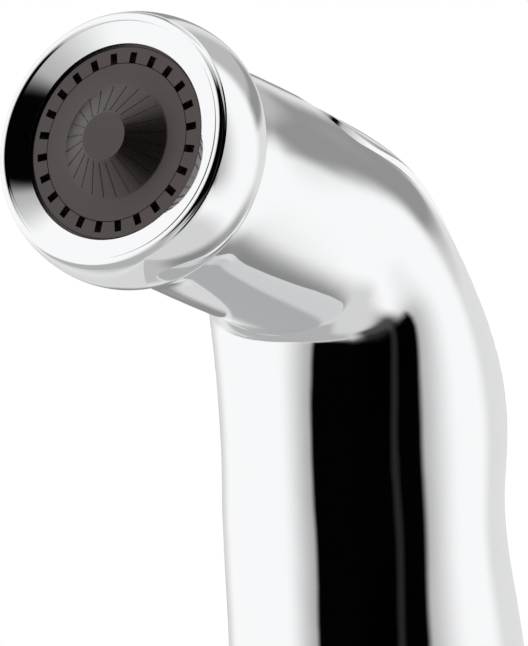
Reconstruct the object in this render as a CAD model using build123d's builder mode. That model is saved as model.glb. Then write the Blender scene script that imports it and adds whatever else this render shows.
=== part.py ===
"""Chrome hand spray of a kitchen faucet, with its thumb lever, valve and spray face.

Millimetres. +Z runs up the handle axis, the spray leaves towards -Y and upwards, and X = 0 is the
plane of symmetry. The origin is on the handle axis, on the shoulder that rests on the deck holder.
"""

from build123d import *
from math import cos, hypot, pi, radians, sin, sqrt
import os

os.makedirs("parts", exist_ok=True)

# ---------------------------------------------------------------- driving sizes
# neck and spray head; depths and runs are measured back along the spray axis from its face
spray_tilt = 20.0  # degrees that the neck leans up from level
neck_radius = 16.2
neck_run = 46.0  # from the spray face to the start of the bend
neck_front = 7.0  # shoulder that the bell closes on
spigot_front = 4.4  # front of the threaded spigot ahead of that shoulder
spigot_radius = neck_radius - 1.9
bell_radius = neck_radius + 2.55
bell_back = 10.3  # rear edge of the bell
bell_rear_bore = neck_radius + 0.45
seal_room = 1.8  # length of the bell seal's groove, ahead of the neck's shoulder
bell_lip = 1.3  # front edge of the funnel, ahead of the spray face
bell_groove = 0.22  # fine groove between the lip and the band
funnel_radius = bell_radius - 2.55

# spray face
face_radius = spigot_radius - 0.94
seam_radius = face_radius - 2.46  # between the ring and the hub
seam_gap = 0.1
flange_radius = spigot_radius - 0.05
flange_front = 1.1
flange_back = 2.3
hub_thickness = 1.8
cone_radius = 7.9
cone_top_radius = 3.8
cone_height = 3.0
slot_count = 24
slot_length = 1.45
slot_width = 0.85
ridge_width = 0.3
ridge_height = 0.18
plate_thickness = 1.2
boss_radius = 4.0  # boss behind the distributor plate
boss_height = 1.7
hub_stem_radius = 2.5
hub_screw_radius = 1.25
hub_screw_head = 2.6
screen_thickness = 0.4
screen_hole = 1.3
screen_rings = 2.2  # spacing of the rings of holes
gasket_thickness = 0.8
chamber_wall = 1.0
chamber_length = 6.2
chamber_step = 8.2  # where the neck's bore narrows and stops the chamber
chamber_floor = 1.6

# handle and bend
handle_front = 24.5  # front of the handle, ahead of its axis
handle_back = 24.1
handle_half_width = 20.1
handle_height = 70.7  # top of the straight handle, where the bend starts
heel_reach = 11.5  # how far the heel flares out behind the handle
heel_height = 35.0
heel_spread = 1.2  # how far the heel widens on each side
crotch_radius = 2.5  # inside corner between neck and handle
wall = 2.2
neck_wall = 2.5  # ring that closes the neck behind its shoulder
floor = 3.0
heel_round = 2.0

# holder seat and hose inlet
seat_radius = 13.5
seat_length = 16.0
seat_chamfer = 0.8
inlet_radius = 6.58  # G1/4 hose thread
inlet_depth = 9.0
adapter_radius = 10.0
adapter_recess = 1.0  # the adapter's mouth lies this far inside the holder seat
adapter_top = 5.0
tube_radius = 4.5
tube_wall = 0.9
tube_socket = 5.0  # how far a tube plugs into its socket
socket_wall = 2.1
washer_thickness = 1.0

# lever
lever_half_width = 13.1
lever_middle = 25.0  # widest place, down the chord from the hinge
lever_length = 65.0  # hinge axis to the lower tip
lever_nose = 9.0  # how far the lever reaches past its hinge
nose_low = 0.4  # top of the nose at its front edge, above the chord
nose_high = 6.45  # where the nose's slope meets the lever's back, above the chord
nose_run = -1.0  # the same place, down the chord from the hinge
nose_crown = 0.25  # how far the nose's slope bulges between the two
window_nose = 14.7  # how far the window reaches past the hinge
side_bow = 600.0  # radius of the lever's nearly straight sides
window_gap = 0.4
cut_depth = 9.0  # the window and the lever are cut from this far under the chord
cut_rise = 23.0  # to this far above it
lever_skin = 1.7
lever_rim = 3.4  # depth of the lever's side walls
lever_side_wall = 1.8
hinge_back = 10.0  # behind the centre of the crotch's arc
hinge_drop = 7.6  # under the top of the bend
lever_lean = 43.7  # degrees that the lever's chord falls away from upright
pin_radius = 1.25
ear_inner = 3.5
ear_outer = 6.1
ear_radius = 2.6
pad_radius = 1.6  # tip of the boss that presses the valve's button
lug_gap = 0.4
lug_run = 24.0  # how far the lugs reach ahead of the hinge
lug_width = 2.5
lug_radius = 2.5

# valve; depths are measured inwards from the tip of its button
valve_arm = 32.5  # hinge axis to the valve axis
valve_rise = 7.0  # tip of the button above the lever's chord
button_radius = 4.3
button_height = 1.9
stem_radius = 2.5
stem_waist = 1.9
barrel_radius = 8.0
barrel_front = 4.7
barrel_end = 31.5
gland_radius = 6.5
gland_end = 8.0
outlet_depth = 9.6  # where the outlet meets the valve axis
upper_bore = 4.9
chamber_front = 8.6
seat_front = 15.2
seat_end = 17.2
seat_bore = 4.0
lower_bore = 5.4
washer_end = 18.7
poppet_radius = 4.8
poppet_end = 20.7
spring_seat = 28.3
spring_boss = 2.9
spring_boss_height = 1.0
spring_wire = 0.4
spring_radius = 3.7
spring_turns = 4
plug_flange_radius = 6.2
plug_flange = 1.3
port_radius = 2.6
ring_wire = 0.85  # half thickness of the stem's O-ring
screw_spread = 10.6  # the housing's screws, either side of the valve axis
screw_radius = 1.25
screw_head_radius = 2.1
screw_head_height = 1.2
screw_length = 8.2
ear_depth = 10.2
ear_thickness = 2.2
ear_round = 2.6
boss_round = 2.4
boss_length = 8.0

running_fit = 0.05  # radial, between parts that slide or turn in each other
push_fit = 0.1  # radial, between fixed parts that plug together
face_gap = 0.05  # between faces that close on each other

# ---------------------------------------------------------------- frames worked out from the sizes
tilt = radians(spray_tilt)
behind = Vector(0, cos(tilt), -sin(tilt))  # back along the neck
above = Vector(0, sin(tilt), cos(tilt))
corner = Vector(0, -handle_front - crotch_radius, handle_height)  # centre of the crotch's arc
face_centre = corner - behind * neck_run + above * (neck_radius + crotch_radius)
face_plane = Plane(origin=face_centre, x_dir=(1, 0, 0), z_dir=behind)
spray_axis = Axis(face_centre, behind)
spray_side = Plane(origin=face_centre, x_dir=behind, z_dir=(1, 0, 0))  # x back, y up
handle_side = Plane(origin=(0, 0, 0), x_dir=(0, 0, 1), z_dir=(1, 0, 0))  # x up the handle

lean = radians(lever_lean)
bend_top = corner.Z + crotch_radius + 2 * neck_radius
hinge = Vector(0, corner.Y + hinge_back, bend_top - hinge_drop)
chord = Vector(0, sin(lean), -cos(lean))
outward = Vector(0, cos(lean), sin(lean))
inward = outward * -1
lever_plane = Plane(origin=hinge, x_dir=(1, 0, 0), z_dir=outward)  # y runs down the chord
lever_side = Plane(origin=hinge, x_dir=chord, z_dir=(1, 0, 0))  # y runs outwards

valve_tip = hinge + chord * valve_arm + outward * valve_rise
valve_side = Plane(origin=valve_tip, x_dir=inward, z_dir=(1, 0, 0))
valve_axis = Axis(valve_tip, inward)

# the outlet leaves the valve parallel to the neck, and the feed rises on the handle axis
outlet_meet = valve_tip + inward * outlet_depth - face_centre
outlet_run = outlet_meet.dot(behind)
outlet_drop = -outlet_meet.dot(above)
outlet_centre = face_centre - above * outlet_drop
outlet_side = Plane(origin=outlet_centre, x_dir=behind, z_dir=(1, 0, 0))
outlet_axis = Axis(outlet_centre, behind)
feed_meet = valve_tip.Z - valve_tip.Y * sin(lean) / cos(lean)
socket_radius = tube_radius + push_fit + socket_wall
tube_bore = tube_radius - tube_wall

feed_top = feed_meet - barrel_radius / cos(lean) - 1.7
feed_bottom = -seat_length + adapter_recess + inlet_depth + 2 + washer_thickness
outlet_back = outlet_run - barrel_radius / sin(pi / 2 - lean + tilt) - 2.2
cup_back = chamber_step + chamber_length - 1.5
outlet_front = cup_back - chamber_floor + washer_thickness + 1.4


def valve_plane(depth):
    """Plane square to the valve axis, this deep under the button's tip."""
    return Plane(origin=valve_tip + inward * depth, x_dir=(1, 0, 0), z_dir=inward)


def turn(plane, axis, points, mode=Mode.ADD):
    """Revolve a closed half section, given as points along the axis and away from it."""
    with BuildSketch(plane) as half_section:
        with BuildLine():
            Polyline(*points, close=True)
        make_face()
    revolve(half_section.sketch, axis=axis, mode=mode)


def sleeve(plane, axis, start, end, outer, inner=0.0, mode=Mode.ADD):
    """A plain turned length, hollow where it has an inner radius."""
    turn(plane, axis, [(start, inner), (end, inner), (end, outer), (start, outer)], mode)


# ---------------------------------------------------------------- the outer form in sections
neck_depth = 2 * neck_radius
handle_depth = handle_front + handle_back
depth_growth = handle_depth - neck_depth
width_growth = handle_half_width - neck_radius
neck_stations = [(neck_front, 0.0), (15.0, -0.2), (26.0, 0.5)]  # run, extra depth on top
bend_stations = [  # angle above level, share of the depth growth, of the width growth, lever's rise
    (90 - spray_tilt, 0.02, 0.2, 0.1),
    (48.0, 0.073, 0.42, 0.65),
    (24.0, 0.264, 0.65, 0.42),
    (7.0, 0.518, 0.88, 0.4),
]
# share of the handle height, of the depth growth, lever's rise
handle_stations = [(0.92, 0.915, 0.44), (0.74, 1.104, 0.7), (0.61, 0.986, 0.6)]
heel_rise = 0.6
heel_stations = [(1.0, 0.05), (0.66, 0.355), (0.31, 0.72), (0.0, 1.0)]  # heel height, heel reach


def stations():
    """Sections from the neck to the bottom of the handle.

    Each has the inner point of the side view, the angle above level to the outer point, the depth
    between the two, the half width and the height that the lever rises above the body.
    """
    found = []
    for run, extra in neck_stations:
        inner = face_centre + behind * run - above * neck_radius
        found.append((inner, 90 - spray_tilt, neck_depth + extra, neck_radius, bend_stations[0][3]))
    for angle, deeper, wider, rise in bend_stations:
        out = Vector(0, cos(radians(angle)), sin(radians(angle)))
        depth = neck_depth + depth_growth * deeper
        half_width = neck_radius + width_growth * wider
        found.append((corner + out * crotch_radius, angle, depth, half_width, rise))
    for share, deeper, rise in handle_stations:
        inner = Vector(0, -handle_front, handle_height * share)
        found.append((inner, 0, neck_depth + depth_growth * deeper, handle_half_width, rise))
    for share, reach in heel_stations:
        inner = Vector(0, -handle_front, heel_height * share)
        half_width = handle_half_width + heel_spread * reach
        found.append((inner, 0, handle_depth + heel_reach * reach, half_width, heel_rise))
    return found


def form(grow=0.0, inside=0.0, lever=0.0):
    """Loft through the sections, moved outwards by grow on the back and sides.

    The side towards the crotch moves by inside, so that a skin over the back leaves it alone. With
    lever set to 1 the loft is the lever's outer form, which rises above the body.
    """
    with BuildPart() as lofted:
        for inner, angle, depth, half_width, rise in stations():
            out = Vector(0, cos(radians(angle)), sin(radians(angle)))
            down = Vector(0, sin(radians(angle)), -cos(radians(angle)))
            more = grow + lever * rise
            centre = inner + out * ((depth + more - inside) / 2)
            with BuildSketch(Plane(origin=centre, x_dir=(1, 0, 0), z_dir=down)):
                with BuildLine():
                    half_depth = (depth + more + inside) / 2
                    for start in (-90, 0, 90, 180):
                        EllipticalCenterArc(
                            (0, 0), half_width + more, half_depth, start_angle=start, arc_size=90
                        )
                make_face()
        loft()
    return lofted.part


def blade(nose, gap=0.0):
    """Outline of the lever or its window, square to the chord: two bowed sides and round ends."""
    half = lever_half_width + gap
    joints = []
    bow = side_bow + gap
    for reach, way in (
        (lever_middle + nose + gap, -1),
        (lever_length - lever_middle + gap, 1),
    ):
        # the end's arc lies inside the side's arc and touches it where the two join
        radius = (bow**2 - (bow - half) ** 2 - reach**2) / (2 * (bow - reach))
        centre = Vector(0, lever_middle + way * (reach - radius))
        bow_centre = Vector(half - bow, lever_middle)
        touch = centre + (centre - bow_centre).normalized() * radius
        joints.append((touch, lever_middle + way * reach, way))
    with BuildSketch() as outline:
        with BuildLine():
            for touch, end, way in joints:
                side = TangentArc((half, lever_middle), touch, tangent=(0, way))
                mirror(side, about=Plane.YZ)
                ThreePointArc(touch, (0, end), (-touch.X, touch.Y))
        make_face()
    return outline.sketch


outer_form = form()
trim_form = form(-wall / 3)

# ---------------------------------------------------------------- body shell
with BuildPart() as cavity:
    add(form(-wall, -wall))
    split(bisect_by=Plane.XY.offset(floor), keep=Keep.TOP)
    split(bisect_by=face_plane.offset(neck_front + neck_wall), keep=Keep.TOP)

with BuildPart() as window:
    with BuildSketch(lever_plane.offset(-cut_depth)):
        add(blade(window_nose, window_gap))
    extrude(amount=cut_depth + cut_rise)
    add(form(-wall - 0.3), mode=Mode.SUBTRACT)


def lug_outline(gap=0.0):
    """Side view of a lug that carries the lever's pin, grown by a gap."""
    with BuildSketch(lever_side) as side:
        Circle(lug_radius + gap)
        with BuildLine():
            top, foot = -0.6 + gap, -6 - gap
            Polyline(
                (0, lug_radius + gap),
                (-5 + gap, top),
                (-13, top),
                (-lug_run, 1 + gap),
                (-lug_run, foot - 3),
                (-13, foot),
                (0, -lug_radius - gap),
                close=True,
            )
        make_face()
    return side.sketch


with BuildPart() as lugs:
    lug_inner = ear_outer + lug_gap
    extrude(lug_outline(), lug_inner + lug_width, both=True)
    with BuildSketch(lever_side):
        Rectangle(2 * lever_length, 2 * lever_length)
    extrude(amount=lug_inner, both=True, mode=Mode.SUBTRACT)
    add(trim_form, mode=Mode.INTERSECT)

with BuildPart() as screw_bosses:
    boss_start = ear_depth + ear_thickness
    with BuildSketch(valve_plane(boss_start)):
        with Locations((screw_spread, 0), (-screw_spread, 0)):
            Circle(boss_round)
        with Locations((screw_spread + 5, 0), (-screw_spread - 5, 0)):
            Rectangle(10, boss_round * 1.2)
    extrude(amount=boss_length)
    add(trim_form, mode=Mode.INTERSECT)

with BuildPart() as body_shell:
    add(outer_form)
    fillet(edges().group_by(Axis.Z)[0], heel_round)
    sleeve(handle_side, Axis.Z, -seat_length, floor, seat_radius)
    chamfer(edges().group_by(Axis.Z)[0], seat_chamfer)
    sleeve(spray_side, spray_axis, spigot_front, neck_front + 1, spigot_radius)
    add(cavity.part, mode=Mode.SUBTRACT)
    add(lugs.part)
    add(screw_bosses.part)
    add(window.part, mode=Mode.SUBTRACT)
    # bore of the neck, with the step that stops the spray chamber
    cup_radius = spigot_radius - 2
    sleeve(spray_side, spray_axis, spigot_front, chamber_step, cup_radius, mode=Mode.SUBTRACT)
    step_end = neck_front + neck_wall + 0.5
    sleeve(
        spray_side, spray_axis, chamber_step, step_end, cup_radius - 1.1, mode=Mode.SUBTRACT
    )
    sleeve(
        handle_side, Axis.Z, -seat_length, floor, adapter_radius + push_fit, mode=Mode.SUBTRACT
    )
    # bores for the lever's pin and the housing's screws
    with BuildSketch(lever_side):
        Circle(pin_radius)
    extrude(amount=lug_inner + lug_width, both=True, mode=Mode.SUBTRACT)
    with BuildSketch(valve_plane(boss_start)):
        with Locations((screw_spread, 0), (-screw_spread, 0)):
            Circle(screw_radius + running_fit)
    extrude(amount=boss_length - 1, mode=Mode.SUBTRACT)
body_shell.part.label = "body_shell"
export_step(body_shell.part, "parts/body_shell.step")
print("body shell", round(body_shell.part.volume), "solids", len(body_shell.part.solids()))

# ---------------------------------------------------------------- spray bell
with BuildPart() as spray_bell:
    rim = Vector(-0.2, bell_radius - 0.85)  # where the funnel's rolled lip meets the band
    with BuildSketch(spray_side):
        with BuildLine():
            lip = ThreePointArc(
                (-bell_lip, funnel_radius),
                (-bell_lip - 0.6, funnel_radius + 0.75),
                (-bell_lip - 0.15, funnel_radius + 1.4),
            )
            Line(lip @ 1, (rim.X, rim.Y))
            band = Spline(
                (rim.X, rim.Y),
                (bell_back / 2, bell_radius),
                (bell_back - 0.5, bell_radius - 1.15),
                tangents=[(1, 0.32), (1, -0.8)],
            )
            Polyline(
                band @ 1,
                (bell_back, bell_radius - 1.75),
                (bell_back, bell_rear_bore),
                (neck_front - seal_room, bell_rear_bore),
                (neck_front - seal_room, spigot_radius + push_fit),
                (flange_front - face_gap, spigot_radius + push_fit),
                (flange_front - face_gap, face_radius + push_fit),
                (-0.1, face_radius + push_fit),
                (-bell_lip, funnel_radius),
            )
        make_face()
    revolve(axis=spray_axis)
    groove = [
        (rim.X - bell_groove, rim.Y + 0.3),
        (rim.X, rim.Y - bell_groove * 1.3),
        (rim.X + bell_groove, rim.Y + 0.3),
    ]
    turn(spray_side, spray_axis, groove, mode=Mode.SUBTRACT)
spray_bell.part.label = "spray_bell"
export_step(spray_bell.part, "parts/spray_bell.step")

with BuildPart() as bell_seal:
    with BuildSketch(spray_side):
        with Locations((neck_front - seal_room / 2, (bell_rear_bore + spigot_radius) / 2)):
            Circle(seal_room / 2 - face_gap)
    revolve(axis=spray_axis)
bell_seal.part.label = "bell_seal"
export_step(bell_seal.part, "parts/bell_seal.step")

# ---------------------------------------------------------------- spray face
with BuildPart() as spray_ring:
    ring_section = [
        (0, seam_radius),
        (0, face_radius),
        (flange_front, face_radius),
        (flange_front, flange_radius),
        (flange_back, flange_radius),
        (flange_back, seam_radius),
    ]
    turn(spray_side, spray_axis, ring_section)
    chamfer(edges().filter_by(GeomType.CIRCLE).sort_by(spray_axis)[0:2], 0.12)
    # slots round the seam that let the spray out
    with BuildSketch(face_plane):
        with PolarLocations(seam_radius, slot_count, start_angle=90 / slot_count):
            SlotOverall(2 * slot_length, slot_width)
    extrude(amount=flange_back, mode=Mode.SUBTRACT)
spray_ring.part.label = "spray_ring"
export_step(spray_ring.part, "parts/spray_ring.step")

with BuildPart() as spray_hub:
    hub_radius = seam_radius - seam_gap
    stem_end = flange_back + plate_thickness + boss_height - 0.3
    hub_section = [
        (-cone_height, 0),
        (-cone_height, cone_top_radius),
        (0, cone_radius),
        (0, hub_radius),
        (hub_thickness, hub_radius),
        (hub_thickness, hub_stem_radius),
        (stem_end, hub_stem_radius),
        (stem_end, 0),
    ]
    turn(spray_side, spray_axis, hub_section)
    # fine radial ridges on the cone, one to each slot
    flank = hypot(cone_height, cone_radius - cone_top_radius)
    rise = Vector(-(cone_radius - cone_top_radius), -cone_height) * (-ridge_height / flank)
    with BuildSketch(spray_side) as ridge_section:
        with BuildLine():
            Polyline(
                (0.2, cone_radius),
                (-cone_height + 0.2, cone_top_radius),
                (-cone_height - rise.X, cone_top_radius + rise.Y),
                (-rise.X, cone_radius + rise.Y),
                close=True,
            )
        make_face()
    ridge = extrude(ridge_section.sketch, ridge_width / 2, both=True, mode=Mode.PRIVATE)
    for number in range(slot_count):
        add(ridge.rotate(spray_axis, (number + 0.25) * 360 / slot_count))
    sleeve(
        spray_side, spray_axis, hub_thickness, stem_end, hub_screw_radius, mode=Mode.SUBTRACT
    )
spray_hub.part.label = "spray_hub"
export_step(spray_hub.part, "parts/spray_hub.step")

with BuildPart() as distributor_plate:
    plate_back = flange_back + face_gap + plate_thickness
    plate_section = [
        (flange_back + face_gap, hub_stem_radius + running_fit),
        (flange_back + face_gap, flange_radius - 0.1),
        (plate_back, flange_radius - 0.1),
        (plate_back, boss_radius),
        (plate_back + boss_height, boss_radius),
        (plate_back + boss_height, hub_stem_radius + running_fit),
    ]
    turn(spray_side, spray_axis, plate_section)
    # one feed hole behind each slot
    with BuildSketch(face_plane.offset(plate_back)):
        with PolarLocations(seam_radius, slot_count, start_angle=90 / slot_count):
            Rectangle(slot_length, slot_width)
    extrude(amount=-plate_thickness, mode=Mode.SUBTRACT)
distributor_plate.part.label = "distributor_plate"
export_step(distributor_plate.part, "parts/distributor_plate.step")

with BuildPart() as hub_screw:
    head_front = plate_back + boss_height + face_gap
    screw_section = [
        (hub_thickness + 0.5, 0),
        (hub_thickness + 0.5, hub_screw_radius - running_fit),
        (head_front, hub_screw_radius - running_fit),
        (head_front, hub_screw_head),
        (head_front + 1.4, hub_screw_head),
        (head_front + 1.4, 0),
    ]
    turn(spray_side, spray_axis, screw_section)
hub_screw.part.label = "hub_screw"
export_step(hub_screw.part, "parts/hub_screw.step")

with BuildPart() as face_gasket:
    gasket_front = plate_back + face_gap
    sleeve(
        spray_side,
        spray_axis,
        gasket_front,
        gasket_front + gasket_thickness,
        spigot_radius - 0.1,
        cup_radius + 0.2,
    )
face_gasket.part.label = "face_gasket"
export_step(face_gasket.part, "parts/face_gasket.step")

with BuildPart() as debris_screen:
    sleeve(
        spray_side,
        spray_axis,
        gasket_front,
        gasket_front + screen_thickness,
        cup_radius - 0.1,
        boss_radius + push_fit,
    )
    with BuildSketch(face_plane.offset(gasket_front)):
        for ring, holes in enumerate((26, 20, 14)):
            with PolarLocations(cup_radius - 2 - ring * screen_rings, holes):
                Rectangle(screen_hole, screen_hole)
    extrude(amount=screen_thickness, mode=Mode.SUBTRACT)
debris_screen.part.label = "debris_screen"
export_step(debris_screen.part, "parts/debris_screen.step")

# ---------------------------------------------------------------- spray chamber and outlet tube
with BuildPart() as spray_chamber:
    cup_front = gasket_front + gasket_thickness + face_gap
    cup_outer = cup_radius - push_fit
    cup_inner = cup_outer - 1.1 - chamber_wall
    step_at = chamber_step - face_gap
    cup_section = [
        (cup_front, cup_inner),
        (cup_front, cup_outer),
        (step_at, cup_outer),
        (step_at, cup_outer - 1.1),
        (cup_back, cup_outer - 1.1),
        (cup_back, 0),
        (cup_back - chamber_floor, 0),
        (cup_back - chamber_floor, cup_inner),
    ]
    turn(spray_side, spray_axis, cup_section)
    socket_back = outlet_front + tube_socket
    sleeve(outlet_side, outlet_axis, cup_back - 0.5, socket_back, socket_radius)
    sleeve(
        outlet_side,
        outlet_axis,
        outlet_front - washer_thickness,
        socket_back,
        tube_radius + push_fit,
        mode=Mode.SUBTRACT,
    )
    sleeve(
        outlet_side, outlet_axis, cup_back - chamber_floor, socket_back, tube_bore, mode=Mode.SUBTRACT
    )
spray_chamber.part.label = "spray_chamber"
export_step(spray_chamber.part, "parts/spray_chamber.step")

with BuildPart() as outlet_tube:
    sleeve(outlet_side, outlet_axis, outlet_front, outlet_back, tube_radius, tube_bore)
outlet_tube.part.label = "outlet_tube"
export_step(outlet_tube.part, "parts/outlet_tube.step")

with BuildPart() as feed_tube:
    sleeve(handle_side, Axis.Z, feed_bottom, feed_top, tube_radius, tube_bore)
feed_tube.part.label = "feed_tube"
export_step(feed_tube.part, "parts/feed_tube.step")

with BuildPart() as tube_washers:
    thin = washer_thickness - face_gap
    for plane, axis, start in (
        (outlet_side, outlet_axis, outlet_front - thin),
        (outlet_side, outlet_axis, outlet_back),
        (handle_side, Axis.Z, feed_bottom - thin),
        (handle_side, Axis.Z, feed_top),
    ):
        end = start + thin - face_gap
        sleeve(plane, axis, start, end, tube_radius, tube_bore)
tube_washers.part.label = "tube_washers"
export_step(tube_washers.part, "parts/tube_washers.step")

# ---------------------------------------------------------------- valve housing
with BuildPart() as valve_housing:
    sleeve(valve_side, valve_axis, barrel_front, barrel_end, barrel_radius)
    with BuildSketch(valve_plane(ear_depth)):
        with Locations((screw_spread, 0), (-screw_spread, 0)):
            Circle(ear_round)
        Rectangle(2 * screw_spread, 2 * ear_round)
    extrude(amount=ear_thickness)
    feed_mouth = feed_top - tube_socket
    sleeve(handle_side, Axis.Z, feed_mouth, feed_meet, socket_radius)
    outlet_mouth = outlet_back - tube_socket
    sleeve(outlet_side, outlet_axis, outlet_mouth, outlet_run - 4.7, socket_radius)
    bores = [
        (barrel_front, 0),
        (barrel_front, gland_radius + running_fit),
        (gland_end, gland_radius + running_fit),
        (gland_end, stem_radius + 2 * running_fit),
        (chamber_front, stem_radius + 2 * running_fit),
        (chamber_front, upper_bore),
        (seat_front, upper_bore),
        (seat_front, lower_bore),
        (barrel_end, lower_bore),
        (barrel_end, 0),
    ]
    turn(valve_side, valve_axis, bores, mode=Mode.SUBTRACT)
    for plane, axis, mouth, stop, end in (
        (handle_side, Axis.Z, feed_mouth, feed_top + washer_thickness, feed_meet - 4.3),
        (outlet_side, outlet_axis, outlet_mouth, outlet_back + washer_thickness, outlet_run - 3.1),
    ):
        sleeve(plane, axis, mouth, stop, tube_radius + push_fit, mode=Mode.SUBTRACT)
        sleeve(plane, axis, mouth, end, port_radius, mode=Mode.SUBTRACT)
    with BuildSketch(valve_plane(ear_depth)):
        with Locations((screw_spread, 0), (-screw_spread, 0)):
            Circle(screw_radius + push_fit)
    extrude(amount=ear_thickness, mode=Mode.SUBTRACT)
valve_housing.part.label = "valve_housing"
export_step(valve_housing.part, "parts/valve_housing.step")

with BuildPart() as housing_screws:
    with BuildSketch(valve_plane(ear_depth - face_gap)):
        with Locations((screw_spread, 0), (-screw_spread, 0)):
            Circle(screw_head_radius)
    extrude(amount=-screw_head_height)
    with BuildSketch(valve_plane(ear_depth - face_gap)):
        with Locations((screw_spread, 0), (-screw_spread, 0)):
            Circle(screw_radius)
    extrude(amount=screw_length)
    with BuildSketch(valve_plane(ear_depth - face_gap - screw_head_height)):
        with Locations((screw_spread, 0), (-screw_spread, 0)):
            Rectangle(2 * screw_head_radius - 1, 0.5)
            Rectangle(0.5, 2 * screw_head_radius - 1)
    extrude(amount=0.8, mode=Mode.SUBTRACT)
housing_screws.part.label = "housing_screws"
export_step(housing_screws.part, "parts/housing_screws.step")

# ---------------------------------------------------------------- valve pieces on the valve axis
with BuildPart() as gland_nut:
    seal_pocket = stem_radius + 2 * ring_wire
    gland_section = [
        (barrel_front + 0.1, stem_radius + running_fit),
        (barrel_front + 0.1, gland_radius),
        (gland_end - face_gap, gland_radius),
        (gland_end - face_gap, seal_pocket + running_fit),
        (gland_end - 2 * ring_wire, seal_pocket + running_fit),
        (gland_end - 2 * ring_wire, stem_radius + running_fit),
    ]
    turn(valve_side, valve_axis, gland_section)
    with BuildSketch(valve_plane(barrel_front)):
        with Locations((5.3, 0), (-5.3, 0)):
            Circle(0.8)
    extrude(amount=1.2, mode=Mode.SUBTRACT)
gland_nut.part.label = "gland_nut"
export_step(gland_nut.part, "parts/gland_nut.step")

with BuildPart() as stem_seal:
    with BuildSketch(valve_side):
        with Locations((gland_end - ring_wire, stem_radius + ring_wire)):
            Circle(ring_wire - 0.03)
    revolve(axis=valve_axis)
stem_seal.part.label = "stem_seal"
export_step(stem_seal.part, "parts/stem_seal.step")

with BuildPart() as valve_seat:
    seat_section = [
        (seat_front + face_gap, seat_bore),
        (seat_front + face_gap, lower_bore - running_fit),
        (seat_end - 0.6, lower_bore - running_fit),
        (seat_end - 0.6, seat_bore + 0.8),
        (seat_end, seat_bore + 0.35),
        (seat_end, seat_bore),
    ]
    turn(valve_side, valve_axis, seat_section)
valve_seat.part.label = "valve_seat"
export_step(valve_seat.part, "parts/valve_seat.step")

with BuildPart() as valve_stem:
    stem_section = [
        (0.8, 0),
        (0.8, stem_radius),
        (chamber_front + 2.6, stem_radius),
        (chamber_front + 3.4, stem_waist),
        (washer_end + face_gap, stem_waist),
        (washer_end + 1.4, stem_waist),
        (washer_end + 1.4, 0),
    ]
    turn(valve_side, valve_axis, stem_section)
valve_stem.part.label = "valve_stem"
export_step(valve_stem.part, "parts/valve_stem.step")

with BuildPart() as valve_button:
    button_section = [
        (0, 0),
        (0, button_radius - 0.6),
        (0.6, button_radius),
        (button_height, button_radius),
        (button_height, stem_radius + running_fit),
        (0.75, stem_radius + running_fit),
        (0.75, 0),
    ]
    turn(valve_side, valve_axis, button_section)
valve_button.part.label = "valve_button"
export_step(valve_button.part, "parts/valve_button.step")

with BuildPart() as seat_washer:
    sleeve(
        valve_side,
        valve_axis,
        seat_end + face_gap,
        washer_end,
        poppet_radius,
        stem_waist + running_fit,
    )
seat_washer.part.label = "seat_washer"
export_step(seat_washer.part, "parts/seat_washer.step")

with BuildPart() as poppet_cup:
    cup_section = [
        (washer_end + 0.02, stem_waist + running_fit),
        (washer_end + 0.02, poppet_radius),
        (poppet_end, poppet_radius),
        (poppet_end, spring_boss),
        (poppet_end + spring_boss_height, spring_boss),
        (poppet_end + spring_boss_height, 0),
        (washer_end + 1.45, 0),
        (washer_end + 1.45, stem_waist + running_fit),
    ]
    turn(valve_side, valve_axis, cup_section)
poppet_cup.part.label = "poppet_cup"
export_step(poppet_cup.part, "parts/poppet_cup.step")

with BuildPart() as end_plug:
    plug_section = [
        (spring_seat - spring_boss_height, 0),
        (spring_seat - spring_boss_height, spring_boss),
        (spring_seat, spring_boss),
        (spring_seat, lower_bore - running_fit),
        (spring_seat + 0.9, lower_bore - running_fit),
        (spring_seat + 0.9, lower_bore - 1),
        (spring_seat + 2.1, lower_bore - 1),
        (spring_seat + 2.1, lower_bore - running_fit),
        (barrel_end + face_gap, lower_bore - running_fit),
        (barrel_end + face_gap, plug_flange_radius),
        (barrel_end + plug_flange, plug_flange_radius),
        (barrel_end + plug_flange, 0),
    ]
    turn(valve_side, valve_axis, plug_section)
    with BuildSketch(valve_plane(barrel_end + plug_flange)):
        Rectangle(2 * lower_bore, 1.2)
    extrude(amount=-0.9, mode=Mode.SUBTRACT)
end_plug.part.label = "end_plug"
export_step(end_plug.part, "parts/end_plug.step")

with BuildPart() as plug_seal:
    with BuildSketch(valve_side):
        with Locations((spring_seat + 1.5, lower_bore - 0.5)):
            Circle(0.48)
    revolve(axis=valve_axis)
plug_seal.part.label = "plug_seal"
export_step(plug_seal.part, "parts/plug_seal.step")


def coil_point(turns):
    """Point of the spring's centre line after this many turns."""
    start = poppet_end + spring_wire + face_gap
    rise = (spring_seat - spring_wire - face_gap - start) / spring_turns
    across = cos(2 * pi * turns) * spring_radius
    along = sin(2 * pi * turns) * spring_radius
    return valve_plane(start + rise * turns).from_local_coords((across, along, 0))


def coil_tangent(turns):
    """Unit direction of the spring's wire there."""
    return (coil_point(turns + 0.001) - coil_point(turns - 0.001)).normalized()


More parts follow.
